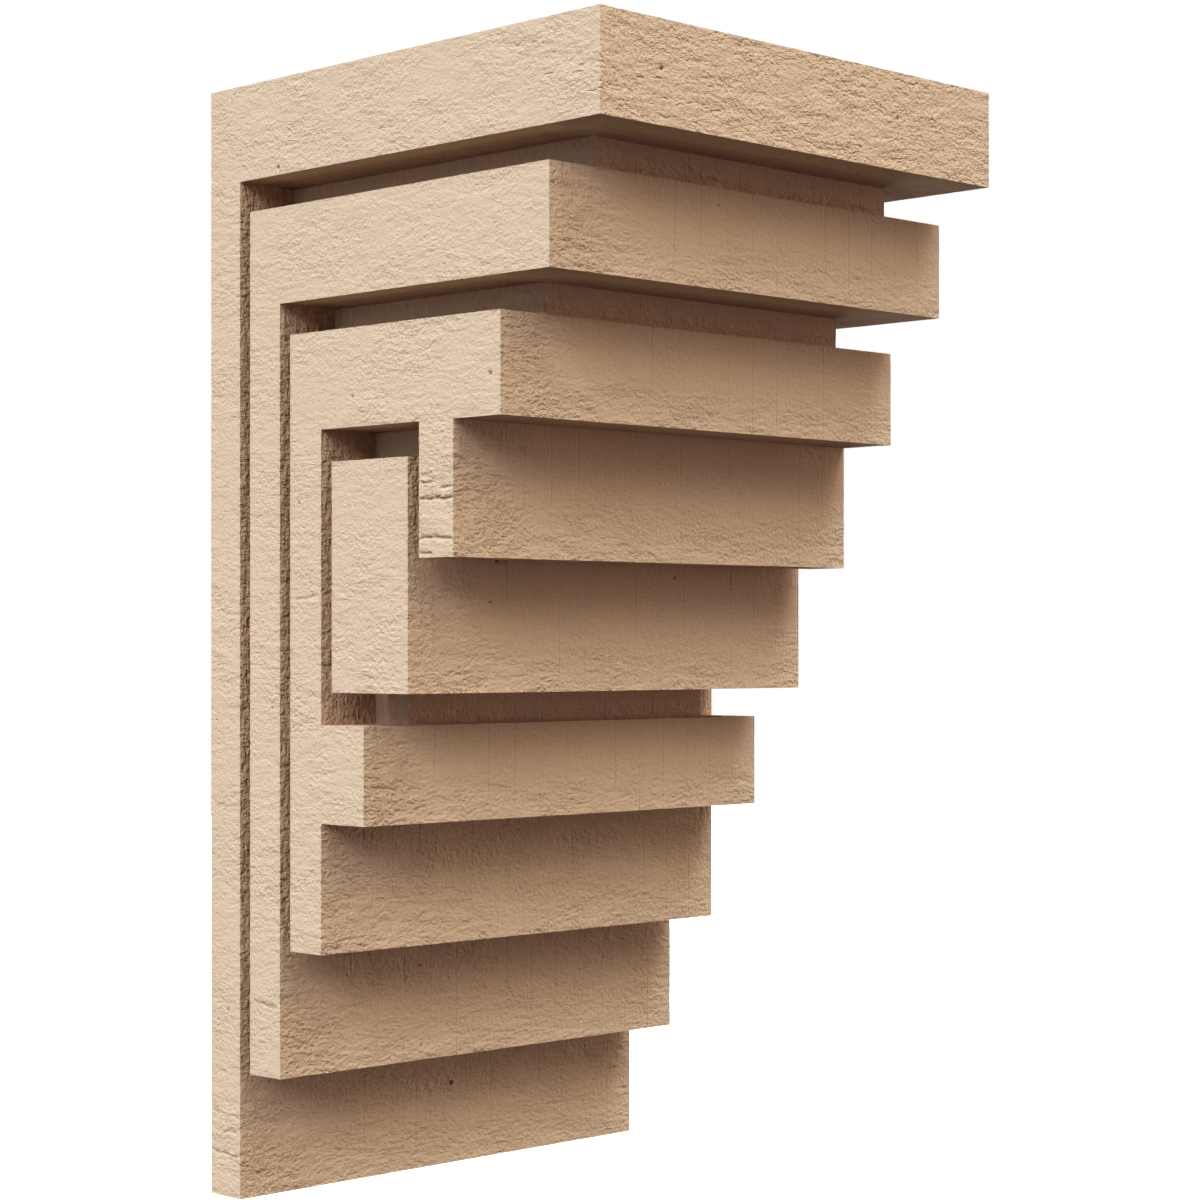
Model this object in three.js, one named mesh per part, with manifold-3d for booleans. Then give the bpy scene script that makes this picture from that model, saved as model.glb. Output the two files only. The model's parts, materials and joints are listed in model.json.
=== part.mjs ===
// Stepped corbel cast in one piece of rigid urethane with a rough-sawn timber look.
// Seen from the side it is three brackets nested inside each other, each an upright board
// with a bar reaching out from its top, around a hanging block. Narrow slots part them.
// A core set in from both sides fills the slots and joins the whole into one casting.
//
// Millimetres, +Z up. The front faces -Y, and the flat back, against the wall, lies at Y = 0.
// The origin is the middle of the back.

import * as THREE from 'three';
import { mergeVertices } from 'three/addons/utils/BufferGeometryUtils.js';
import Module from 'manifold-3d';

// Driving dimensions: across the wall
const WIDTH = 152.4;
const SIDE_RECESS = 19.05; // how far the core sits in from each side

// Driving dimensions: out from the wall
const BOARD = 13.06; // thickness of each upright board and of the hook's leg
const SLOT = 4.36; // upright slot between two neighbours
const BLOCK_DEPTH = 30.48; // hanging block, back to front
const BAR_STEP = 17.42; // how far each bar reaches past the one below it
const FOOT_REACH = 17.42; // how far the foot stands out from the inner board

// Driving dimensions: down from the top
const BAR_HEIGHT = 26.13;
const GAP = 8.71; // level gap under a bar, and between the block and the foot
const HOOK_DROP = 34.83; // hook's leg, below the inner bar
const BLOCK_DROP = 34.83; // how far the block hangs below the hook
const FOOT_HEIGHT = 26.13;
const TAIL_STEP = 34.83; // each board runs on this far below the one in front of it

// Driving dimensions: ends of the core
const FRONT_RECESS = 4.35; // core behind the front of the shorter of its two neighbours
const END_RECESS = 4.35; // core above the lower end of an upright slot

// Distances out from the wall that follow
const outerFace = BOARD;
const middleBack = outerFace + SLOT;
const middleFace = middleBack + BOARD;
const innerBack = middleFace + SLOT;
const innerFace = innerBack + BOARD;
const footFront = innerFace + FOOT_REACH;
const blockBack = innerFace + SLOT;
const blockFront = blockBack + BLOCK_DEPTH;
const hookBack = blockFront + SLOT;
const hookFront = hookBack + BOARD;
const innerFront = hookFront + BAR_STEP;
const middleFront = innerFront + BAR_STEP;
const outerFront = middleFront + BAR_STEP;

// Distances down from the top that follow
const outerUnder = BAR_HEIGHT;
const middleTop = outerUnder + GAP;
const middleUnder = middleTop + BAR_HEIGHT;
const innerTop = middleUnder + GAP;
const innerUnder = innerTop + BAR_HEIGHT;
const blockTop = innerUnder + GAP;
const hookFoot = innerUnder + HOOK_DROP;
const blockFoot = hookFoot + BLOCK_DROP;
const footTop = blockFoot + GAP;
const footUnder = footTop + FOOT_HEIGHT;
const innerTail = footUnder + TAIL_STEP;
const middleTail = innerTail + TAIL_STEP;
const outerTail = middleTail + TAIL_STEP;
const originDepth = outerTail / 2; // the origin, down from the top

// Outlines of the four full-width pieces, as [out from the wall, down from the top]
const outerBracket = [
  [0, 0],
  [outerFront, 0],
  [outerFront, outerUnder],
  [outerFace, outerUnder],
  [outerFace, outerTail],
  [0, outerTail],
];
const middleBracket = [
  [middleBack, middleTop],
  [middleFront, middleTop],
  [middleFront, middleUnder],
  [middleFace, middleUnder],
  [middleFace, middleTail],
  [middleBack, middleTail],
];
const innerBracket = [
  [innerBack, innerTop],
  [innerFront, innerTop],
  [innerFront, innerUnder],
  [hookFront, innerUnder],
  [hookFront, hookFoot],
  [hookBack, hookFoot],
  [hookBack, innerUnder],
  [innerFace, innerUnder],
  [innerFace, footTop],
  [footFront, footTop],
  [footFront, footUnder],
  [innerFace, footUnder],
  [innerFace, innerTail],
  [innerBack, innerTail],
];
const hangingBlock = rectangle(blockBack, blockFront, blockTop, blockFoot);

// The core: one strip along each gap and slot, let into the pieces on both sides of it
const lap = Math.min(BOARD, BAR_HEIGHT) / 4;
const coreStrips = [
  levelStrip(outerFace, middleFront - FRONT_RECESS, outerUnder, middleTop),
  levelStrip(middleFace, innerFront - FRONT_RECESS, middleUnder, innerTop),
  levelStrip(innerFace, hookBack, innerUnder, blockTop),
  levelStrip(innerFace, Math.min(footFront, blockFront) - FRONT_RECESS, blockFoot, footTop),
  uprightStrip(outerFace, middleBack, outerUnder, middleTail - END_RECESS),
  uprightStrip(middleFace, innerBack, middleUnder, innerTail - END_RECESS),
  uprightStrip(innerFace, blockBack, innerUnder, footTop),
  uprightStrip(blockFront, hookBack, innerUnder, hookFoot - END_RECESS),
];

function rectangle(near, far, top, foot) {
  return [
    [near, top],
    [far, top],
    [far, foot],
    [near, foot],
  ];
}

// A level strip reaches up and down into its neighbours, and back into the board behind it
function levelStrip(near, far, top, foot) {
  return rectangle(near - lap, far, top - lap, foot + lap);
}

// An upright strip reaches into the pieces before and behind it, and up into the bar above
function uprightStrip(near, far, top, foot) {
  return rectangle(near - lap, far + lap, top - lap, foot);
}

// An outline drawn out to a width, centred across the corbel
function slab(outline, width) {
  const shape = new THREE.Shape();
  outline.forEach(([out, down], index) => {
    const place = [-out, originDepth - down];
    if (index === 0) shape.moveTo(...place);
    else shape.lineTo(...place);
  });
  shape.closePath();
  const geometry = new THREE.ExtrudeGeometry(shape, { depth: width, bevelEnabled: false });
  geometry.translate(0, 0, -width / 2);
  const acrossAxis = new THREE.Vector3(1, 0, 0);
  const outAxis = new THREE.Vector3(0, 1, 0);
  const upAxis = new THREE.Vector3(0, 0, 1);
  geometry.applyMatrix4(new THREE.Matrix4().makeBasis(outAxis, upAxis, acrossAxis));
  return geometry;
}

const wasm = await Module();
wasm.setup();

function toSolid(geometry) {
  geometry.deleteAttribute('normal');
  geometry.deleteAttribute('uv');
  const merged = mergeVertices(geometry, 1e-4);
  return new wasm.Manifold(
    new wasm.Mesh({
      numProp: 3,
      vertProperties: new Float32Array(merged.attributes.position.array),
      triVerts: new Uint32Array(merged.index.array),
    }),
  );
}

function toGeometry(solid) {
  const mesh = solid.getMesh();
  const geometry = new THREE.BufferGeometry();
  geometry.setAttribute('position', new THREE.BufferAttribute(mesh.vertProperties, 3));
  geometry.setIndex(new THREE.BufferAttribute(mesh.triVerts, 1));
  geometry.computeVertexNormals();
  return geometry;
}

const fullWidth = [outerBracket, middleBracket, innerBracket, hangingBlock];
const slabs = [
  ...fullWidth.map((outline) => slab(outline, WIDTH)),
  ...coreStrips.map((outline) => slab(outline, WIDTH - 2 * SIDE_RECESS)),
];
const casting = slabs.map(toSolid).reduce((whole, next) => whole.add(next));

const tanUrethane = new THREE.MeshStandardMaterial({
  color: 0xd8c2aa,
  roughness: 0.85,
  metalness: 0,
  flatShading: true,
});

const corbel = new THREE.Mesh(toGeometry(casting), tanUrethane);
corbel.name = 'corbel';

const group = new THREE.Group();
group.add(corbel);

export default group;
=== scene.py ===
# Stepped urethane corbel, cast with a rough-sawn timber surface: its finish and its stage.
import json
import math
import random

import bpy
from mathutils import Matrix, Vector, noise
from mathutils.bvhtree import BVHTree
from mathutils.kdtree import KDTree

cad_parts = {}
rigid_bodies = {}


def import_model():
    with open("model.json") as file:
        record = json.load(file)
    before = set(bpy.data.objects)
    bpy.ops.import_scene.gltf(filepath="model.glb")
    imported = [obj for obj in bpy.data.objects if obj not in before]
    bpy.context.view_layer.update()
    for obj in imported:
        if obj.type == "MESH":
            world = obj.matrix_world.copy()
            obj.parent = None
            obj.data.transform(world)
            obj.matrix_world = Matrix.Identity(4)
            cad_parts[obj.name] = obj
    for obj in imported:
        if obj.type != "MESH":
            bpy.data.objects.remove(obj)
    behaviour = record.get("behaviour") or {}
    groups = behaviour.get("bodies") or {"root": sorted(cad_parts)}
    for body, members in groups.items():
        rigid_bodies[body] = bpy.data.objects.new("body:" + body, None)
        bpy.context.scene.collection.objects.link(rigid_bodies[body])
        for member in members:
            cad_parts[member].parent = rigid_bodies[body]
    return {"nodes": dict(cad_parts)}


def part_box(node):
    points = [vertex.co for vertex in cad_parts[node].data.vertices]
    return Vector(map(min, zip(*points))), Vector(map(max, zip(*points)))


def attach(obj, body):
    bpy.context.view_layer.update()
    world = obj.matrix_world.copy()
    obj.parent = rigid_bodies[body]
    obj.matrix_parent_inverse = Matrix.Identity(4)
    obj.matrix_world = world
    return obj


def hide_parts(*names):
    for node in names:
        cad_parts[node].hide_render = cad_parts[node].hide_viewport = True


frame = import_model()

bl_info = {
    "name": "Stepped urethane corbel",
    "version": (1, 0, 0),
    "blender": (4, 5, 0),
    "location": "View3D > Sidebar > Corbel",
    "description": "Gives the packed corbel its rough-sawn cast surface and sets it on a studio stage",
    "category": "Object",
}

NODE = "corbel"
PIECE = "corbel_casting"
SLOT = "cast_urethane"
MM = 0.001
ACROSS, OUT, UP = 0, 1, 2  # X runs across the wall, -Y out from it and Z up

LOW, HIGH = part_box(NODE)
LEFT = LOW.x
RIGHT = HIGH.x
FRONT = LOW.y
TOP = HIGH.z
FOOT = LOW.z
HEIGHT = TOP - FOOT
MODULE = HEIGHT / 35  # down and out, all edges lie on whole and half steps of this, to 0.02 mm


def out(steps):
    """The Y of a place that lies so many modules out from the wall."""
    return -steps * MODULE


BOARD_FRONT = out(1.5)
MIDDLE_BOARD_FRONT = out(3.5)
BLOCK_FRONT = out(9.5)
HOOK_BACK = out(10)
HOOK_FRONT = out(11.5)


# Settings that a user would change


class CorbelGridSettings(bpy.types.PropertyGroup):
    step: bpy.props.FloatProperty(
        name="Grid step",
        description="Width of the cells that all faces are cut into; seen faces get quarters of it",
        default=4.9 * MM,
        min=1.0 * MM,
        unit="LENGTH",
    )
    mark_cuts: bpy.props.IntProperty(
        name="Cuts under marks",
        description="Further cuts across each cell under a crack or a pit",
        default=3,
        min=0,
        max=6,
    )
    open_room: bpy.props.FloatProperty(
        name="Open room",
        description="Room in front of a face that makes it an open one; farther walls don't shelter it",
        default=12 * MM,
        min=1.0 * MM,
        unit="LENGTH",
    )


class CorbelReliefSettings(bpy.types.PropertyGroup):
    swell_size: bpy.props.FloatProperty(
        name="Swell size",
        description="Length of the slow unevenness of the faces",
        default=19 * MM,
        unit="LENGTH",
    )
    swell_depth: bpy.props.FloatProperty(
        name="Swell depth",
        description="Depth of the slow unevenness of the faces",
        default=0.11 * MM,
        unit="LENGTH",
    )
    ripple_length: bpy.props.FloatProperty(
        name="Ripple length",
        description="Length of the torn ripples along the grain",
        default=9 * MM,
        unit="LENGTH",
    )
    ripple_height: bpy.props.FloatProperty(
        name="Ripple height",
        description="Spacing of the torn ripples across the grain",
        default=2.8 * MM,
        unit="LENGTH",
    )
    ripple_depth: bpy.props.FloatProperty(
        name="Ripple depth",
        description="Depth of the torn ripples",
        default=0.16 * MM,
        unit="LENGTH",
    )
    saw_pitch: bpy.props.FloatProperty(
        name="Saw line pitch",
        description="Spacing of the faint upright saw lines on the fronts",
        default=9.8 * MM,
        unit="LENGTH",
    )
    saw_depth: bpy.props.FloatProperty(
        name="Saw furrow depth",
        description="Depth of the shallow furrow along each saw line",
        default=0.05 * MM,
        unit="LENGTH",
    )
    edge_reach: bpy.props.FloatProperty(
        name="Edge reach",
        description="Relief fades out over this distance from the sharp edges",
        default=2.0 * MM,
        unit="LENGTH",
    )
    edge_wear: bpy.props.FloatProperty(
        name="Edge wear",
        description="Deepest of the small nicks along the sharp edges",
        default=0.08 * MM,
        unit="LENGTH",
    )
    crack_width: bpy.props.FloatProperty(
        name="Crack width",
        description="Half the width of a drying crack at its mouth",
        default=0.5 * MM,
        unit="LENGTH",
    )
    pit_radius: bpy.props.FloatProperty(
        name="Pit radius",
        description="Radius of a usual casting pit",
        default=0.5 * MM,
        unit="LENGTH",
    )
    pit_depth: bpy.props.FloatProperty(
        name="Pit depth",
        description="Depth of a usual casting pit",
        default=0.7 * MM,
        unit="LENGTH",
    )
    seed: bpy.props.IntProperty(
        name="Seed",
        description="Seed of the pits that aren't placed one by one",
        default=7,
    )


class CorbelFinishSettings(bpy.types.PropertyGroup):
    tan: bpy.props.FloatVectorProperty(
        name="Primed tan",
        description="Colour of the factory primer",
        subtype="COLOR",
        size=3,
        default=(0.6, 0.455, 0.33),
        min=0.0,
        max=1.0,
    )
    # Painted shade: this colour stands in for the shade deep in the slots and gaps, and goes in where
    # near walls block the outlook
    slot_tan: bpy.props.FloatVectorProperty(
        name="Slot tan",
        description="Colour deep in the slots, where the primer is thin",
        subtype="COLOR",
        size=3,
        default=(0.53, 0.33, 0.23),
        min=0.0,
        max=1.0,
    )
    roughness: bpy.props.FloatProperty(
        name="Roughness",
        description="Roughness of the matte primer",
        subtype="FACTOR",
        default=0.9,
        min=0.0,
        max=1.0,
    )
    gloss: bpy.props.FloatProperty(
        name="Gloss",
        description="Strength of the faint shine on the matte primer",
        subtype="FACTOR",
        default=0.15,
        min=0.0,
        max=1.0,
    )
    grain_depth: bpy.props.FloatProperty(
        name="Grain depth",
        description="Depth of the fine crumpled grain, in millimetres",
        default=0.3,
    )
    tear_depth: bpy.props.FloatProperty(
        name="Tear depth",
        description="Depth of the short tears, in millimetres",
        default=0.45,
    )
    streak_depth: bpy.props.FloatProperty(
        name="Streak depth",
        description="Depth of the upright streaks of the saw, in millimetres",
        default=0.07,
    )
    saw_line_depth: bpy.props.FloatProperty(
        name="Saw line depth",
        description="Depth of the fine scratch along each saw line, in millimetres",
        default=0.14,
    )
    mottle_depth: bpy.props.FloatProperty(
        name="Mottle depth",
        description="Depth of the rough mottling of the slots' walls, in millimetres",
        default=0.7,
    )


class CorbelStageSettings(bpy.types.PropertyGroup):
    floor_drop: bpy.props.FloatProperty(
        name="Floor drop",
        description="How far the floor lies below the middle of the corbel",
        default=1.2,
        unit="LENGTH",
    )
    floor_size: bpy.props.FloatProperty(
        name="Floor size",
        description="Width of the square floor",
        default=30.0,
        unit="LENGTH",
    )
    floor_colour: bpy.props.FloatVectorProperty(
        name="Floor colour",
        description="Colour of the pale studio floor",
        subtype="COLOR",
        size=3,
        default=(0.94, 0.94, 0.94),
        min=0.0,
        max=1.0,
    )
    floor_glow: bpy.props.FloatProperty(
        name="Floor glow",
        description="Strength of the white glow that keeps the floor pale",
        default=0.8,
    )
    softness: bpy.props.FloatProperty(
        name="Softness",
        description="Angle over which each studio light is spread",
        subtype="ANGLE",
        default=math.radians(30),
    )
    lens: bpy.props.FloatProperty(
        name="Lens",
        description="Focal length of the camera, in millimetres",
        default=83.475,
    )
    camera_place: bpy.props.FloatVectorProperty(
        name="Camera place",
        description="Where the camera stands, level with the middle of the corbel",
        size=3,
        default=(-0.5453, -0.6215, 0.0),
        unit="LENGTH",
    )
    camera_shift: bpy.props.FloatProperty(
        name="Camera shift",
        description="How far the view is shifted up, as a share of the picture's width",
        default=0.0360,
    )


# Modelling helpers

SAME_SPOT = 0.01 * MM  # corners nearer to each other than this are one
FLAT_ANGLE = 0.01  # radians between two triangles of one flat face, at most
SQUARE_ON = 0.9  # a normal's least share along the axis that a flat face looks along


def select_only(item):
    bpy.ops.object.select_all(action="DESELECT")
    item.select_set(True)
    bpy.context.view_layer.objects.active = item


def edit_faces(item):
    select_only(item)
    bpy.ops.object.mode_set(mode="EDIT")
    bpy.ops.mesh.select_mode(type="FACE")


def merged_copy(node_name, piece_name):
    """A copy of a CAD node with its triangles joined into whole flat faces."""
    select_only(frame["nodes"][node_name])
    bpy.ops.object.duplicate()
    piece = bpy.context.object
    piece.name = piece_name
    piece.data.name = piece_name
    bpy.ops.object.parent_clear(type="CLEAR_KEEP_TRANSFORM")
    for key in list(piece.keys()):
        del piece[key]
    piece.data.materials.clear()
    bpy.ops.mesh.customdata_custom_splitnormals_clear()
    edit_faces(piece)
    bpy.ops.mesh.select_all(action="SELECT")
    bpy.ops.mesh.remove_doubles(threshold=SAME_SPOT)
    bpy.ops.mesh.dissolve_limited(angle_limit=FLAT_ANGLE, delimit={"NORMAL"})
    bpy.ops.object.mode_set(mode="OBJECT")
    return piece


def clamped(share):
    return min(max(share, 0.0), 1.0)


def smooth_step(start, end, value):
    """A soft rise from 0 at the start to 1 at the end, which may be the lower of the two."""
    share = clamped((value - start) / (end - start))
    return share * share * (3 - 2 * share)


def layered_noise(spot, layers):
    """Noise in layers, each with the length of its waves and its strength."""
    return sum(noise.noise(spot / length) * strength for length, strength in layers)


# The grid that carries the relief

# Kinds of face: the open sides and fronts, the walls, undersides and fronts seen in or beside
# a slot's mouth, and all others
KINDS = ("left", "right", "front", "mouth", "hidden")
SKIN = 1.0 * MM  # what lies this near a side's plane belongs to that side
RAY_START = 0.1 * MM  # rays start this far off a face, so as not to meet it
SHORTEST_RUN = 0.1 * MM  # an edge runs along an axis if it covers more than this of it


def cut_across(axis, places):
    """Cut all faces that show in edit mode by planes square to an axis."""
    normal = [0.0, 0.0, 0.0]
    normal[axis] = 1.0
    for place in places:
        point = [0.0, 0.0, 0.0]
        point[axis] = place
        bpy.ops.mesh.select_all(action="SELECT")
        bpy.ops.mesh.bisect(plane_co=point, plane_no=normal)


def edge_places(mesh, axis):
    """The places along an axis where the corbel has corners."""
    return sorted({round(vertex.co[axis], 5) for vertex in mesh.vertices})


def places_between(edges, step):
    """The places that part each space between two neighbouring edges into near-equal steps."""
    places = []
    for low, high in zip(edges, edges[1:]):
        parts = max(1, round((high - low) / step))
        places += [low + (high - low) * part / parts for part in range(1, parts)]
    return places


def sort_face(face, tree, open_room):
    """The kind of face a cell lies on, by where it looks and how much room is in front of it."""
    if abs(face.normal.x) > SQUARE_ON:
        if abs(face.center.x) < RIGHT - SKIN:
            return "mouth"
        return "left" if face.normal.x < 0 else "right"
    looks_out = face.normal.y < -SQUARE_ON
    met, _, _, room = tree.ray_cast(face.center + face.normal * RAY_START, face.normal)
    if met is not None and room < open_room:
        return "mouth" if looks_out else "hidden"
    if looks_out:
        return "front"
    if face.normal.z < -SQUARE_ON:
        return "mouth"
    return "hidden"


def kinds_of(mesh):
    """The kind of each face, in the order of the mesh's faces."""
    return [KINDS[item.value] for item in mesh.attributes["kind"].data]


def split_edges(piece, chosen, cuts=1):
    """Cut the chosen edges, and the cells between them, into equal parts."""
    mesh = piece.data
    mesh.polygons.foreach_set("select", [False] * len(mesh.polygons))
    mesh.vertices.foreach_set("select", [False] * len(mesh.vertices))
    mesh.edges.foreach_set("select", chosen)
    select_only(piece)
    bpy.context.tool_settings.mesh_select_mode = (False, True, False)
    bpy.ops.object.mode_set(mode="EDIT")
    bpy.ops.mesh.subdivide(number_cuts=cuts)
    bpy.ops.object.mode_set(mode="OBJECT")


def halve_cells(piece, directions):
    """Halve the cells of each kind along the axes that it is given."""
    mesh = piece.data
    for axis in (UP, OUT, ACROSS):
        wanted = {kind for kind, axes in directions.items() if axis in axes}
        keys = set()
        for face, kind in zip(mesh.polygons, kinds_of(mesh)):
            if kind in wanted:
                keys.update(face.edge_keys)
        places = [vertex.co[axis] for vertex in mesh.vertices]
        along = [
            edge.key in keys and abs(places[edge.key[0]] - places[edge.key[1]]) > SHORTEST_RUN
            for edge in mesh.edges
        ]
        split_edges(piece, along)


def cut_grid(piece, grid):
    """Cut the flat faces into cells, finer where the relief is seen."""
    mesh = piece.data
    edit_faces(piece)
    for axis in (UP, OUT, ACROSS):
        edges = edge_places(mesh, axis)
        cut_across(axis, edges[1:-1] + places_between(edges, grid.step))
    bpy.ops.object.mode_set(mode="OBJECT")

    corners = [vertex.co for vertex in mesh.vertices]
    tree = BVHTree.FromPolygons(corners, [face.vertices for face in mesh.polygons])
    layer = mesh.attributes.new("kind", "INT", "FACE")
    for face in mesh.polygons:
        layer.data[face.index].value = KINDS.index(sort_face(face, tree, grid.open_room))
    every_way = (ACROSS, OUT, UP)
    halve_cells(piece, dict.fromkeys(("left", "right", "front", "mouth"), every_way))
    halve_cells(piece, {"left": (OUT, UP), "right": (OUT, UP), "front": (ACROSS, UP)})
    return tree


# Marks of the casting, placed on the faces as the real one has them

WANDER_LENGTH = 4.0 * MM  # a crack wanders up and down in waves about this long
WANDER = 0.7 * MM
TREMBLE_LENGTH = 1.1 * MM  # and trembles in finer ones
TREMBLE = 0.12 * MM
UNEVEN_LENGTH = 1.7 * MM  # its depth varies over this length
TAPER = 2.2  # it reaches its full depth this many crack widths from its ends
CRACK_REACH = 3 * MM  # no crack strays further up or down than this
CRACK_SKIN = 0.6 * MM  # a crack cuts into the faces round the corner this far


class Crack:
    """A level drying crack on a side, from one place to another at one height."""

    def __init__(self, side, start, end, height, depth, drift=0.0):
        self.side = side
        self.start = min(start, end)
        self.end = max(start, end)
        self.height = height
        self.depth = depth
        self.drift = drift

    def near(self, spot):
        on_side = abs(spot.x - self.side) < CRACK_SKIN
        return on_side and abs(spot.z - self.height) < CRACK_REACH

    def centre(self, along):
        """The height of the crack's winding middle line."""
        share = (along - self.start) / (self.end - self.start)
        level = self.height / MM
        wander = noise.noise(Vector((along / WANDER_LENGTH, level, 0.0))) * WANDER
        tremble = noise.noise(Vector((along / TREMBLE_LENGTH, 5.0, level))) * TREMBLE
        return self.height + self.drift * (share - 0.5) + wander + tremble

    def hollow(self, spot, width):
        """How deep the crack is at a spot, as a share of its depth."""
        ends = min(spot.y - self.start, self.end - spot.y)
        if ends < -width:
            return 0.0
        taper = smooth_step(-width, TAPER * width, ends)
        unevenness = 0.75 + 0.5 * noise.noise(Vector((spot.y / UNEVEN_LENGTH, self.height, 9.0)))
        distance = abs(spot.z - self.centre(spot.y)) / (width * (0.55 + 0.45 * taper))
        return taper * unevenness * (1 - smooth_step(0.15, 1.0, distance))


class Pit:
    """A round hole that an air bubble left in the casting."""

    def __init__(self, spot, size=1.0):
        self.spot = Vector(spot)
        self.size = size


# From one place to another, at a height above the middle, with the depth and the drift upwards.
# Those on the left are read off the photograph.
CRACKS = (
    Crack(LEFT, HOOK_BACK, HOOK_FRONT, 43.3 * MM, 0.22 * MM),
    Crack(LEFT, HOOK_BACK, out(10.7), 41.0 * MM, 0.5 * MM),
    Crack(LEFT, out(10.9), HOOK_FRONT, 39.4 * MM, 0.45 * MM, 0.3 * MM),
    Crack(LEFT, HOOK_BACK, HOOK_FRONT, 36.6 * MM, 0.75 * MM),
    Crack(LEFT, HOOK_BACK, HOOK_FRONT, 26.7 * MM, 0.7 * MM),
    Crack(LEFT, HOOK_BACK, out(10.6), 22.9 * MM, 0.5 * MM),
    Crack(LEFT, out(0.1), BOARD_FRONT, -129.6 * MM, 0.3 * MM, 1.5 * MM),
    Crack(LEFT, out(0.5), out(1.3), -134.5 * MM, 0.35 * MM, -1.0 * MM),
    Crack(LEFT, out(0.0), BOARD_FRONT, -140.5 * MM, 0.4 * MM, 1.0 * MM),
    Crack(LEFT, out(2.2), out(3.4), -98.0 * MM, 0.4 * MM, 1.2 * MM),
    Crack(LEFT, out(4.2), out(5.2), 12.0 * MM, 0.35 * MM, -1.2 * MM),
    Crack(RIGHT, HOOK_BACK, HOOK_FRONT, 31.0 * MM, 0.6 * MM),
    Crack(RIGHT, out(0.2), BOARD_FRONT, -61.0 * MM, 0.5 * MM),
    Crack(RIGHT, out(2.1), out(3.0), 64.0 * MM, 0.45 * MM),
    Crack(RIGHT, out(6.2), out(8.3), -12.0 * MM, 0.35 * MM, 1.5 * MM),
)

# Places read off the photograph, as X, Y and Z, with the size against a usual pit
PITS = (
    Pit((-54.8 * MM, FRONT, 140.2 * MM), 1.1),
    Pit((36.3 * MM, FRONT, 140.2 * MM), 1.0),
    Pit((50.9 * MM, FRONT, 141.9 * MM), 0.9),
    Pit((1.3 * MM, BOARD_FRONT, -128.9 * MM), 1.3),
    Pit((-26.1 * MM, MIDDLE_BOARD_FRONT, -90.9 * MM), 0.8),
    Pit((-25.7 * MM, MIDDLE_BOARD_FRONT, -113.5 * MM), 0.8),
    Pit((-45.0 * MM, BLOCK_FRONT, 21.9 * MM), 1.3),
    Pit((-47.5 * MM, BLOCK_FRONT, 10.8 * MM), 0.8),
    Pit((22.9 * MM, BLOCK_FRONT, 18.3 * MM), 0.8),
    Pit((LEFT, -113.8 * MM, 67.0 * MM), 1.1),
    Pit((LEFT, -60.6 * MM, 64.6 * MM), 0.9),
    Pit((LEFT, -27.0 * MM, -17.6 * MM), 0.9),
    Pit((LEFT, -2.6 * MM, -21.3 * MM), 0.8),
    Pit((LEFT, -0.9 * MM, -58.2 * MM), 0.8),
    Pit((LEFT, -29.6 * MM, 128.3 * MM), 1.2),
    Pit((LEFT, -38.6 * MM, 37.4 * MM), 0.9),
    Pit((LEFT, -7.6 * MM, -101.0 * MM), 0.8),
)

# Pits scattered at random: the kind of face, how many, and their smallest and largest size
SCATTERED = (
    ("right", 12, 0.6, 1.1),
    ("front", 12, 0.5, 0.75),
)

CELL_NEAR_PIT = 0.8 * MM  # cells whose middle is this near a pit's rim are cut finer
CELL_NEAR_CRACK = 0.45 * MM  # and this near a crack's edge
CRACK_STRIDE = 0.7 * MM  # the cells along a crack are looked for in strides this long at most


def scattered_pits(mesh, seed):
    """More pits: small ones among those on the fronts, and others on the side out of sight."""
    rng = random.Random(seed)
    pits = []
    faces = list(zip(mesh.polygons, kinds_of(mesh)))
    for kind, count, smallest, largest in SCATTERED:
        cells = [face.center.copy() for face, own in faces if own == kind]
        for spot in rng.sample(cells, count):
            pits.append(Pit(spot, rng.uniform(smallest, largest)))
    return pits


def refine_around_marks(piece, pits, relief, cuts):
    """Split the cells under each crack and pit, so that the mesh can follow its walls."""
    tree = KDTree(len(piece.data.polygons))
    for face in piece.data.polygons:
        tree.insert(face.center, face.index)
    tree.balance()
    chosen = set()
    for pit in pits:
        reach = relief.pit_radius * pit.size + CELL_NEAR_PIT
        chosen.update(index for _, index, _ in tree.find_range(pit.spot, reach))
    for crack in CRACKS:
        steps = int((crack.end - crack.start) / CRACK_STRIDE) + 1
        reach = relief.crack_width + CELL_NEAR_CRACK
        for step in range(steps + 1):
            along = crack.start + (crack.end - crack.start) * step / steps
            middle = Vector((crack.side, along, crack.centre(along)))
            chosen.update(index for _, index, _ in tree.find_range(middle, reach))
    keys = set()
    for index in chosen:
        keys.update(piece.data.polygons[index].edge_keys)
    split_edges(piece, [edge.key in keys for edge in piece.data.edges], cuts)


# The relief

LEANING = 0.6  # a normal's least share along an axis on the faces and edges that look along it
FRAY_FULL = 2 * MM  # the fronts are frayed in full this near their left end
FRAY_REACH = 34 * MM  # and not at all this far from it
FRAY_WAVE = 12 * MM  # the frayed stretch ends in waves this long
FRAY_SHIFT = 10 * MM  # that move its end this far
TORN_PATCHES = ((24 * MM, 0.5), (9 * MM, 0.25))  # large and small patches, with their strength
TOP_BAR_TORN = 0.95
FRONT_TORN = (0.15, 0.62)  # shares of a front's height, from torn in full to not torn
SIDE_TORN = 0.42
TAIL_START = FOOT + 34 * MM  # the sides are more torn below this height
TAIL_END = FOOT + 8 * MM
WARP_LENGTH = 6 * MM  # the torn ripples bend over this length
FURROW = 0.9 * MM  # half the width of a saw line's furrow
EDGE_BAND = 0.3 * MM  # nicks reach this far from a sharp edge
NICKS = ((3.1 * MM, 1.0), (1.1 * MM, 0.6))  # large and small nicks, with their strength
# Painted shade: cracks and pits are darkened in colour, in full from this depth
DARK_DEPTH = 0.5 * MM  # a crack this deep or deeper is dark inside
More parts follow.
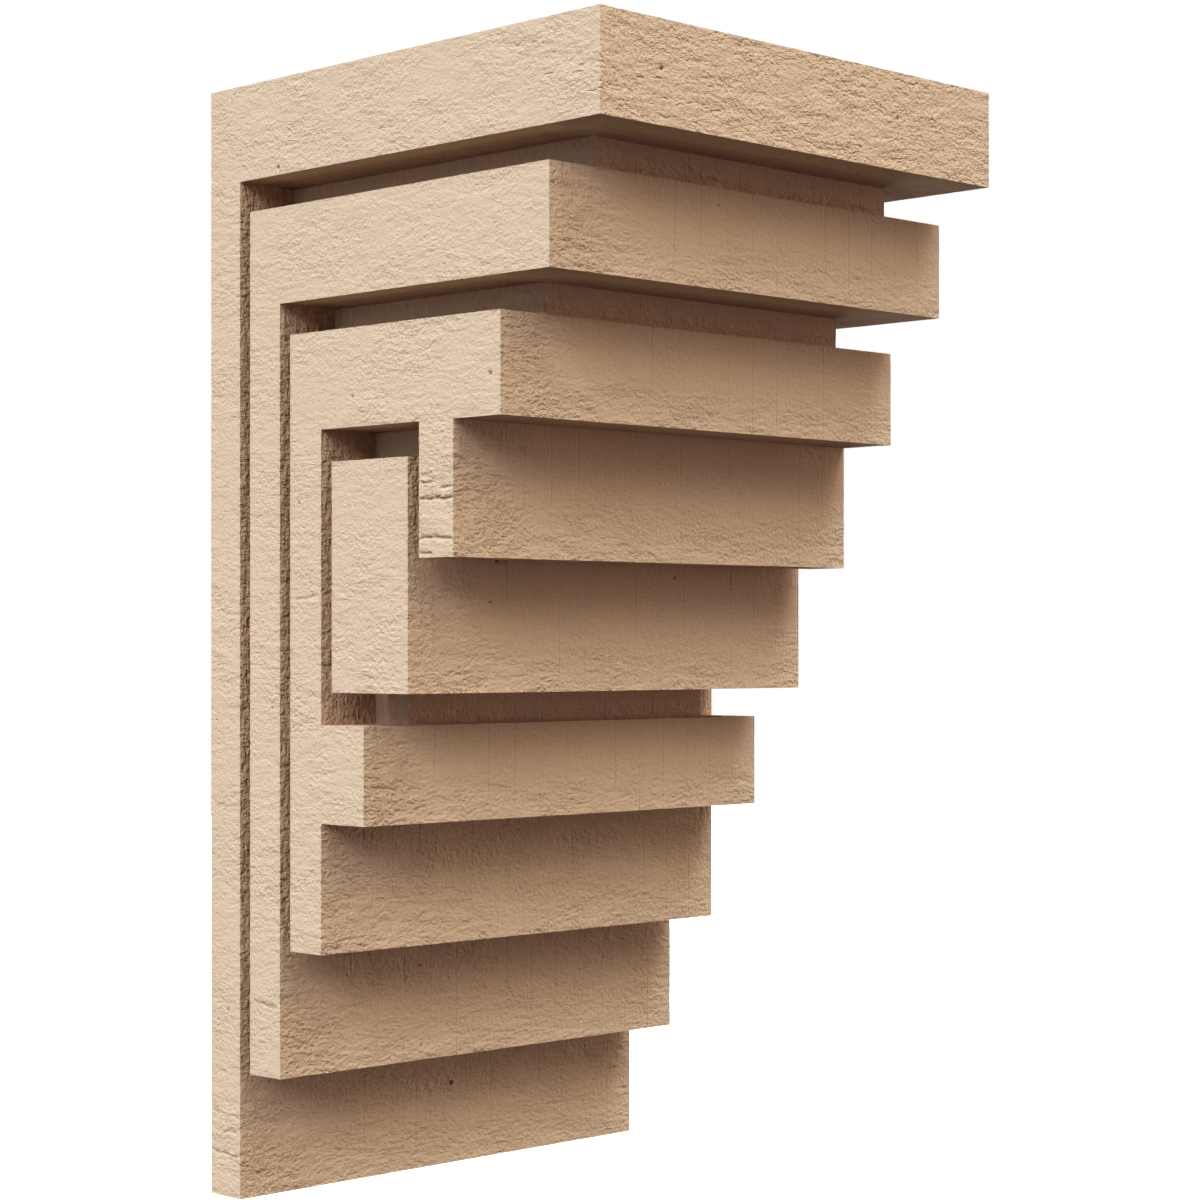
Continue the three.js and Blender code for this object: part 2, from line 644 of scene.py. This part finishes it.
OUTLOOK = ((35, 4), (65, 8))  # degrees off straight ahead, and how many ways to look there
LOOK_START = 0.05 * MM  # a look starts this far off the surface


def front_spans(mesh):
    """For each open front, the heights of its lower and upper edge."""
    spans = {}
    for face, kind in zip(mesh.polygons, kinds_of(mesh)):
        if kind != "front":
            continue
        key = round(face.center.y, 4)
        heights = [mesh.vertices[index].co.z for index in face.vertices]
        low, high = spans.get(key, (math.inf, -math.inf))
        spans[key] = (min(low, *heights), max(high, *heights))
    return spans


def frayed_share(spot, normal):
    """How much the saw frayed a front at a spot: most at its left end."""
    if normal.y > -LEANING:
        return 0.0
    wander = noise.noise(spot / FRAY_WAVE) * FRAY_SHIFT
    return 1.0 - smooth_step(FRAY_FULL, FRAY_REACH, spot.x - LEFT + wander)


def torn_share(spot, normal, spans):
    """How torn the grain is at a spot: all over the top bar, low down on the other fronts."""
    patch = layered_noise(spot, TORN_PATCHES)
    if normal.y < -LEANING:
        low, high = spans.get(round(spot.y, 4), (FOOT, TOP))
        on_top_bar = high > TOP - MM
        share = (spot.z - low) / (high - low)
        base = TOP_BAR_TORN if on_top_bar else 1.0 - smooth_step(*FRONT_TORN, share)
        base = max(base, 0.7 * frayed_share(spot, normal))
        return clamped(base + patch * 0.7)
    if abs(normal.x) > LEANING:
        tail = smooth_step(TAIL_START, TAIL_END, spot.z)
        return clamped(SIDE_TORN + patch * 1.3 + 0.5 * tail)
    return clamped(0.2 + patch)


def rough_height(spot, normal, torn, relief):
    """How far the cast surface stands out from the flat face, in metres."""
    swell = noise.noise(spot / relief.swell_size) * relief.swell_depth
    stretched = Vector((
        spot.x / relief.ripple_length,
        spot.y / relief.ripple_length,
        spot.z / relief.ripple_height,
    ))
    stretched.z += noise.noise(spot / WARP_LENGTH) * 0.6
    ripple = noise.noise(stretched) + 0.5 * noise.noise(stretched * 1.9)
    height = swell + ripple * relief.ripple_depth * (0.3 + torn)
    if normal.y < -LEANING:
        offset = abs((spot.x - LEFT) / relief.saw_pitch % 1.0 - 0.5) * relief.saw_pitch
        height -= relief.saw_depth * (1 - smooth_step(0.0, FURROW, offset))
    return height


def edge_nick(spot, nearest, relief):
    """How far the worn edge is nicked at a spot, in metres."""
    if nearest >= EDGE_BAND:
        return 0.0
    return relief.edge_wear * smooth_step(0.1, 0.9, layered_noise(spot, NICKS))


def marks_at(spot, pits, pit_tree, relief):
    """How far cracks and pits sink a spot, in metres, and how much painted shade they put on it, from 0
    to 1.
    """
    sink = 0.0
    hollow = 0.0
    for crack in CRACKS:
        if crack.near(spot):
            share = crack.hollow(spot, relief.crack_width)
            sink += share * crack.depth
            hollow = max(hollow, share * min(crack.depth / DARK_DEPTH, 1.0))
    _, index, distance = pit_tree.find(spot)
    size = pits[index].size
    share = 1 - smooth_step(0.35, 1.25, distance / (relief.pit_radius * size))
    sink += share * relief.pit_depth * size
    return sink, max(hollow, share)


def sharp_edge_tree(mesh):
    """The vertices on the corbel's own edges, to find how near an edge a spot is."""
    sharp = set()
    facing = {}
    for face in mesh.polygons:
        for key in face.edge_keys:
            facing.setdefault(key, []).append(face.normal)
    for key, normals in facing.items():
        if len(normals) == 2 and normals[0].dot(normals[1]) < 0.5:
            sharp.update(key)
    tree = KDTree(len(sharp))
    for index in sharp:
        tree.insert(mesh.vertices[index].co, index)
    tree.balance()
    return tree


def tree_of_pits(pits):
    tree = KDTree(len(pits))
    for index, pit in enumerate(pits):
        tree.insert(pit.spot, index)
    tree.balance()
    return tree


def shelter_of(spot, normal, tree, reach):
    """The share of the outlook from a spot that near walls block; an open side has none."""
    if abs(spot.x) >= RIGHT - SKIN and abs(normal.x) >= SQUARE_ON:
        return 0.0
    side = normal.orthogonal().normalized()
    other = normal.cross(side)
    blocked = 0
    rays = 0
    for tilt, turns in OUTLOOK:
        lean = math.radians(tilt)
        for turn in range(turns):
            angle = 2 * math.pi * (turn + 0.5) / turns
            flat = side * math.cos(angle) + other * math.sin(angle)
            ray = normal * math.cos(lean) + flat * math.sin(lean)
            rays += 1
            if tree.ray_cast(spot + normal * LOOK_START, ray, reach)[0] is not None:
                blocked += 1
    return blocked / rays


def write_attribute(mesh, name, values):
    """Write one number for each vertex, for the material to read."""
    layer = mesh.attributes.new(name, "FLOAT", "POINT")
    layer.data.foreach_set("value", values)


def carve_relief(piece, tree, relief, grid):
    """Move the grid's vertices in and out, and write what the finish needs to know."""
    mesh = piece.data
    pits = list(PITS) + scattered_pits(mesh, relief.seed)
    spans = front_spans(mesh)
    refine_around_marks(piece, pits, relief, grid.mark_cuts)
    edges = sharp_edge_tree(mesh)
    pit_tree = tree_of_pits(pits)

    known = {"torn": [], "frayed": [], "hollow": [], "shelter": []}
    moves = []
    for vertex in mesh.vertices:
        spot = vertex.co
        normal = vertex.normal
        nearest = edges.find(spot)[2]
        fade = smooth_step(0.0, relief.edge_reach, nearest)
        torn = torn_share(spot, normal, spans)
        sink, hollow = marks_at(spot, pits, pit_tree, relief)
        height = rough_height(spot, normal, torn, relief) * (0.2 + 0.8 * fade)
        height -= edge_nick(spot, nearest, relief) + sink
        known["torn"].append(torn)
        known["frayed"].append(frayed_share(spot, normal))
        known["hollow"].append(hollow)
        known["shelter"].append(shelter_of(spot, normal, tree, grid.open_room))
        moves.append(normal * height)
    for vertex, move in zip(mesh.vertices, moves):
        vertex.co += move
    mesh.attributes.remove(mesh.attributes["kind"])
    for name, values in known.items():
        write_attribute(mesh, name, values)
    mesh.update()


# Shader maths


class Value:
    """A number, vector or colour on a shader socket; arithmetic on a number adds Math nodes."""

    def __init__(self, graph, socket):
        self.graph = graph
        self.socket = socket

    def maths(self, operation, *inputs):
        return self.graph.node("ShaderNodeMath", {"operation": operation}, inputs)

    def __add__(self, other):
        return self.maths("ADD", self, other)

    def __radd__(self, other):
        return self.maths("ADD", other, self)

    def __sub__(self, other):
        return self.maths("SUBTRACT", self, other)

    def __rsub__(self, other):
        return self.maths("SUBTRACT", other, self)

    def __mul__(self, other):
        return self.maths("MULTIPLY", self, other)

    def __rmul__(self, other):
        return self.maths("MULTIPLY", other, self)

    def __neg__(self):
        return self.maths("MULTIPLY", self, -1.0)

    def __abs__(self):
        return self.maths("ABSOLUTE", self)

    def fraction(self):
        """What is left of the number without its whole part."""
        return self.maths("FRACT", self)


class Graph:
    """The nodes of one material, made and linked from Python expressions."""

    def __init__(self, material):
        material.use_nodes = True
        self.tree = material.node_tree
        self.tree.nodes.clear()

    def node(self, kind, settings=None, inputs=(), output=0):
        """Make a node, set it, fill its sockets by order or by name, and give one output."""
        node = self.tree.nodes.new(kind)
        for name, setting in (settings or {}).items():
            setattr(node, name, setting)
        pairs = inputs.items() if isinstance(inputs, dict) else enumerate(inputs)
        for name, value in pairs:
            if isinstance(value, Value):
                self.tree.links.new(value.socket, node.inputs[name])
            else:
                node.inputs[name].default_value = value
        return Value(self, node.outputs[output]) if node.outputs else None

    def coordinate(self, vector, axis):
        """One coordinate of a vector."""
        return self.node("ShaderNodeSeparateXYZ", {}, (vector,), axis)

    def step(self, value, low, high):
        """A soft step from 0 to 1 between two values."""
        return self.node(
            "ShaderNodeMapRange",
            {"interpolation_type": "SMOOTHSTEP"},
            {"Value": value, "From Min": low, "From Max": high},
            "Result",
        )

    def attribute(self, name):
        return self.node("ShaderNodeAttribute", {"attribute_name": name}, (), "Fac")

    def noise(self, spot, size, detail=2.0, distortion=0.0, roughness=0.5):
        """Noise about zero, from -1 to 1, with bumps of a size across, out and up in millimetres."""
        scale = tuple(1 / (length * MM) for length in size)
        stretched = self.node(
            "ShaderNodeMapping", {"vector_type": "POINT"}, {"Vector": spot, "Scale": scale}
        )
        level = self.node(
            "ShaderNodeTexNoise",
            {"noise_dimensions": "3D"},
            {
                "Vector": stretched,
                "Scale": 1.0,
                "Detail": detail,
                "Roughness": roughness,
                "Distortion": distortion,
            },
            "Fac",
        )
        return level * 2.0 - 1.0

    def mixed_colour(self, share, first, second):
        """The first colour where the share is 0 and the second where it is 1."""
        # A Mix node names its number, vector and colour sockets alike, so they go by their place
        return self.node(
            "ShaderNodeMix",
            {"data_type": "RGBA"},
            {0: share, 6: (*first, 1.0), 7: (*second, 1.0)},
            2,
        )


# Materials

WHITE = (1.0, 1.0, 1.0, 1.0)
# Heights over which the top bar's coarser surface takes over, in and below the gap under it
TOP_BAR_FADE = (110 * MM, 125 * MM)
# Distances from the middle over which the side of the core gives way to the recess beside it
CORE_FADE = (55 * MM, 60 * MM)
SAW_LINE = 0.045  # half the width of a saw line's scratch, as a share of the pitch
FACING = (0.5, 0.8)  # a normal's share along an axis, from not looking that way to looking so


def cast_urethane(finish, relief):
    """Matte tan primer over the cast rough-sawn surface."""
    material = bpy.data.materials.new(SLOT)
    graph = Graph(material)
    spot = graph.node("ShaderNodeTexCoord", output="Object")
    facing = graph.node("ShaderNodeTexCoord", output="Normal")
    across = graph.coordinate(spot, "X")
    on_front = graph.step(-graph.coordinate(facing, "Y"), *FACING)
    on_underside = graph.step(-graph.coordinate(facing, "Z"), *FACING)
    on_top_bar = graph.step(graph.coordinate(spot, "Z"), *TOP_BAR_FADE)
    beside_core = graph.step(abs(across), *CORE_FADE)
    torn = graph.attribute("torn")
    hollow = graph.attribute("hollow")
    shelter = graph.attribute("shelter")
    frayed = graph.attribute("frayed")

    # Crumpled grain: small round bumps and longer level scales, broken by smoother patches
    crumple = graph.noise(spot, (1.25, 1.25, 1.05), 2.0, 0.1, 0.66)
    scales = graph.noise(spot, (4.2, 4.2, 1.7), 2.0, 0.2)
    lumps = graph.noise(spot, (10.0, 10.0, 4.2), 2.0, 0.2)
    patch = graph.step(graph.noise(spot, (15, 15, 10)), -0.4, 0.3)
    grain = (crumple * 1.15 + scales + lumps) * (0.5 + 0.5 * patch)

    # Short level tears, in rows along the grain
    rows = graph.step(graph.noise(spot, (55, 55, 4.2), 2.0, 0.2), -0.05, 0.35)
    tears = graph.step(graph.noise(spot, (4.0, 4.0, 1.3), 1.5, 0.6), 0.1, 0.6)
    tearing = tears * rows * graph.step(torn, 0.4, 0.95) * (0.35 + 0.65 * on_top_bar)

    # Upright streaks that the saw left on the fronts
    streaks = graph.noise(spot, (1.6, 40, 7), 2.0, 0.4) * on_front * (0.5 + 6.0 * frayed)

    # Faint saw lines, where the relief has its shallow furrows
    share = (across - LEFT) * (1 / relief.saw_pitch)
    beside_line = abs(share.fraction() - 0.5)
    kept = graph.step(graph.noise(spot, (9, 40, 26), 1.0), -0.35, 0.35)
    saw = (1.0 - graph.step(beside_line, 0.0, SAW_LINE)) * kept * on_front

    # Rough upright mottling of the sheltered walls, mostly beside the core
    mottle = graph.noise(spot, (1.3, 1.3, 2.6), 2.0, 0.4) * shelter * (0.3 + 0.7 * beside_core)

    # Deeper grain where the surface is torn, and most of all on the fronts
    on_lower_front = on_front * (1.0 - on_top_bar)
    lift = on_lower_front * (0.4 * torn + 0.8 * frayed) + on_front * on_top_bar * 0.25
    height = (
        grain * finish.grain_depth * (0.56 + 0.5 * torn + lift)
        - tearing * finish.tear_depth
        + streaks * finish.streak_depth
        + mottle * finish.mottle_depth
        - saw * finish.saw_line_depth
    )
    normal = graph.node(
        "ShaderNodeBump", {}, {"Strength": 1.0, "Distance": MM, "Height": height}, "Normal"
    )

    # Colour: the primer, a little darker along the saw lines, with painted shade in creases, tears,
    # cracks, pits, slots and sheltered undersides
    clouds = graph.noise(spot, (30, 30, 22), 3.0) * 0.03
    specks = graph.noise(spot, (1.2, 1.2, 1.0), 1.0) * 0.02
    # Painted shade: the low places of the crumpled grain a little darker
    crease_shade = graph.step(crumple, -0.45, 0.1) * 0.05
    # Painted shade: darker inside the tears
    shade = 0.96 + (clouds + specks) - tearing * 0.2 - saw * 0.06 + crease_shade
    # Painted shade: darker in cracks and pits, and darker on undersides where near walls block the
    # outlook; the mottling is random tone
    shade = shade * (1.0 - hollow * 0.55) * (1.0 + mottle * 0.55 - shelter * on_underside * 0.65)
    # Painted shade: the primer gives way to the darker slot colour where near walls block the outlook
    primer = graph.mixed_colour(shelter, finish.tan, finish.slot_tan)
    colour = graph.node(
        "ShaderNodeVectorMath", {"operation": "SCALE"}, {"Vector": primer, "Scale": shade}, "Vector"
    )
    surface = graph.node(
        "ShaderNodeBsdfPrincipled",
        {},
        {
            "Base Color": colour,
            "Roughness": finish.roughness,
            "Specular IOR Level": finish.gloss,
            "Normal": normal,
        },
        "BSDF",
    )
    graph.node("ShaderNodeOutputMaterial", {}, {"Surface": surface})
    return material


def pale_floor(stage):
    """Matte white that glows a little, so that the floor stays pale."""
    material = bpy.data.materials.new("pale_floor")
    graph = Graph(material)
    surface = graph.node(
        "ShaderNodeBsdfPrincipled",
        {},
        {
            "Base Color": (*stage.floor_colour, 1.0),
            "Roughness": 0.9,
            "Emission Color": WHITE,
            "Emission Strength": stage.floor_glow,
        },
        "BSDF",
    )
    graph.node("ShaderNodeOutputMaterial", {}, {"Surface": surface})
    return material


# Operators

SHARP_ANGLE = math.radians(55)  # shading breaks at edges sharper than this
SENSOR_WIDTH = 36  # millimetres
NEAREST_SEEN = 0.05  # metres in front of the camera
LIGHT_DISTANCE = 3  # metres; a distant light shines the same from any place

# Azimuth 0 is straight in front and -90 the left side; the colours carry the strength
STUDIO_LIGHTS = (
    ("key_left_back", -112, 50, (2.16, 2.42, 2.72)),
    ("key_left", -68, 30, (2.38, 2.22, 2.1)),
    ("key_front_left", -30, 50, (0.88, 0.9, 0.72)),
    ("fill_left", -90, 2, (0.3, 0.37, 0.4)),
    ("fill_front_right", 30, 35, (0.88, 0.66, 0.42)),
    ("fill_high", 30, 65, (1.8, 2.05, 2.2)),
    ("fill_right", 60, 0, (1.25, 0.95, 0.8)),
    ("fill_below", 0, -60, (0.2, 0.14, 0.12)),
    ("fill_back", 150, 0, (2.2, 2.2, 2.2)),
)


class CORBEL_OT_casting(bpy.types.Operator):
    """Make the whole casting: its grid, its rough-sawn relief and its primed finish"""

    bl_idname = "corbel.make_casting"
    bl_label = "Make casting"

    def execute(self, context):
        scene = context.scene
        piece = merged_copy(NODE, PIECE)
        tree = cut_grid(piece, scene.corbel_grid)
        carve_relief(piece, tree, scene.corbel_relief, scene.corbel_grid)
        select_only(piece)
        bpy.ops.object.shade_smooth_by_angle(angle=SHARP_ANGLE)
        piece.data.materials.append(cast_urethane(scene.corbel_finish, scene.corbel_relief))
        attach(piece, "root")
        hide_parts(NODE)
        return {"FINISHED"}


class CORBEL_OT_stage(bpy.types.Operator):
    """Set the floor, the white backdrop, the soft studio lights and the camera"""

    bl_idname = "corbel.set_stage"
    bl_label = "Set stage"

    def execute(self, context):
        scene = context.scene
        stage = scene.corbel_stage
        self.make_floor(stage)
        self.make_backdrop(scene)
        for light in STUDIO_LIGHTS:
            self.make_light(*light, stage.softness)
        self.make_camera(scene, stage)
        scene.view_settings.view_transform = "Standard"
        return {"FINISHED"}

    def make_floor(self, stage):
        """A floor far below the corbel, which neither lights nor shades it."""
        bpy.ops.object.select_all(action="DESELECT")
        bpy.ops.mesh.primitive_plane_add(size=stage.floor_size, location=(0, 0, -stage.floor_drop))
        floor = bpy.context.object
        floor.name = "floor"
        floor.data.materials.append(pale_floor(stage))
        floor.visible_diffuse = False
        floor.visible_glossy = False
        floor.visible_shadow = False

    def make_backdrop(self, scene):
        """A world that the camera sees as white and that gives no light."""
        world = bpy.data.worlds.new("white_backdrop")
        scene.world = world
        world.use_nodes = True
        nodes = world.node_tree.nodes
        background = nodes["Background"]
        background.inputs["Color"].default_value = WHITE
        path = nodes.new("ShaderNodeLightPath")
        strength = background.inputs["Strength"]
        world.node_tree.links.new(path.outputs["Is Camera Ray"], strength)

    def make_light(self, name, azimuth, elevation, colour, softness):
        """A distant light that shines from its azimuth and elevation at the corbel."""
        turn = math.radians(azimuth)
        rise = math.radians(elevation)
        toward = Vector(
            (math.sin(turn) * math.cos(rise), -math.cos(turn) * math.cos(rise), math.sin(rise))
        )
        bpy.ops.object.light_add(type="SUN", location=toward * LIGHT_DISTANCE)
        light = bpy.context.object
        light.name = name
        light.rotation_euler = toward.to_track_quat("Z", "Y").to_euler()
        strength = max(colour)
        light.data.energy = strength
        light.data.color = tuple(channel / strength for channel in colour)
        light.data.angle = softness

    def make_camera(self, scene, stage):
        """A level camera on the line at 45 degrees to the wall, as the photograph was taken."""
        bpy.ops.object.camera_add(location=stage.camera_place)
        camera = bpy.context.object
        camera.name = "camera"
        camera.rotation_euler = Vector((1, 1, 0)).to_track_quat("-Z", "Y").to_euler()
        camera.data.sensor_width = SENSOR_WIDTH
        camera.data.lens = stage.lens
        camera.data.shift_y = stage.camera_shift
        camera.data.clip_start = NEAREST_SEEN
        scene.camera = camera


class CORBEL_PT_sidebar(bpy.types.Panel):
    """Lists what makes the corbel and its stage"""

    bl_idname = "CORBEL_PT_sidebar"
    bl_label = "Corbel"
    bl_space_type = "VIEW_3D"
    bl_region_type = "UI"
    bl_category = "Corbel"

    def draw(self, context):
        layout = self.layout
        for operator in (CORBEL_OT_casting, CORBEL_OT_stage):
            layout.operator(operator.bl_idname)
        for name in SETTINGS:
            settings = getattr(context.scene, name)
            box = layout.box()
            for prop in settings.bl_rna.properties:
                if prop.identifier in settings.__annotations__:
                    box.prop(settings, prop.identifier)


SETTINGS = {
    "corbel_grid": CorbelGridSettings,
    "corbel_relief": CorbelReliefSettings,
    "corbel_finish": CorbelFinishSettings,
    "corbel_stage": CorbelStageSettings,
}
CLASSES = (*SETTINGS.values(), CORBEL_OT_casting, CORBEL_OT_stage, CORBEL_PT_sidebar)


def register():
    for item in CLASSES:
        bpy.utils.register_class(item)
    for name, settings in SETTINGS.items():
        setattr(bpy.types.Scene, name, bpy.props.PointerProperty(type=settings))


def unregister():
    for name in SETTINGS:
        delattr(bpy.types.Scene, name)
    for item in reversed(CLASSES):
        bpy.utils.unregister_class(item)


def main():
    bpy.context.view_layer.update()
    register()
    bpy.ops.corbel.make_casting()
    bpy.ops.corbel.set_stage()


if __name__ == "__main__":
    main()
